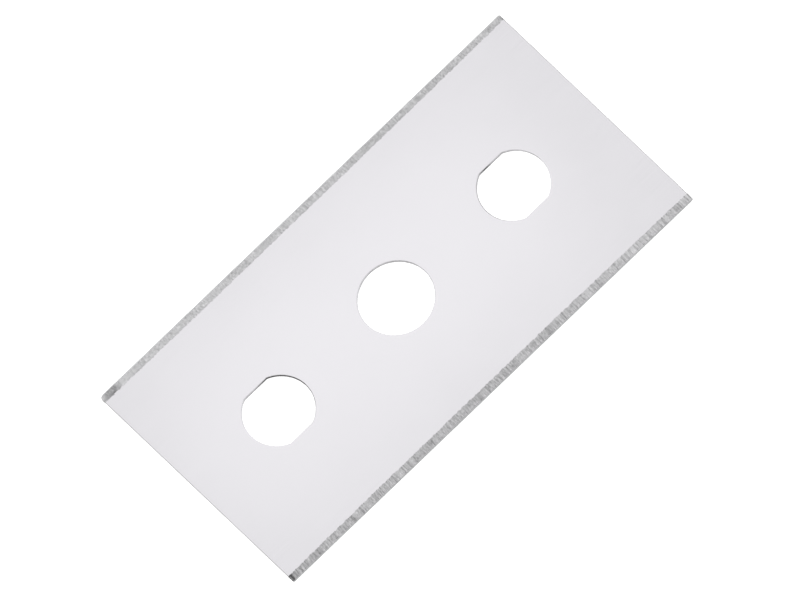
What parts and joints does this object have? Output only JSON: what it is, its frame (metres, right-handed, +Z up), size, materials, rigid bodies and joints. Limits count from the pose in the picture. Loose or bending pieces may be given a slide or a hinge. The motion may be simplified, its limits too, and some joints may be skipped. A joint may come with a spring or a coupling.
{
  "type": "hob scraper blade",
  "caption": "Thin flat rectangular steel scraper blade, ground to a bevelled edge along its long sides, with a round hole in the middle and flat-sided locating holes towards the ends.",
  "frame": {"origin": "middle of the lower face, on the axis of the middle hole", "axes": "+X along the cutting edges, +Y across the blade from one edge to the other, +Z up through the thickness along the middle hole's axis"},
  "size_m": [0.043, 0.0222, 0.0003],
  "materials": {
    "blade_steel": "bright satin rolled faces, with matt cross-ground bevels along the cutting edges"
  },
  "bodies": {
    "root": {"blade": "blade_steel"}
  },
  "joints": []
}
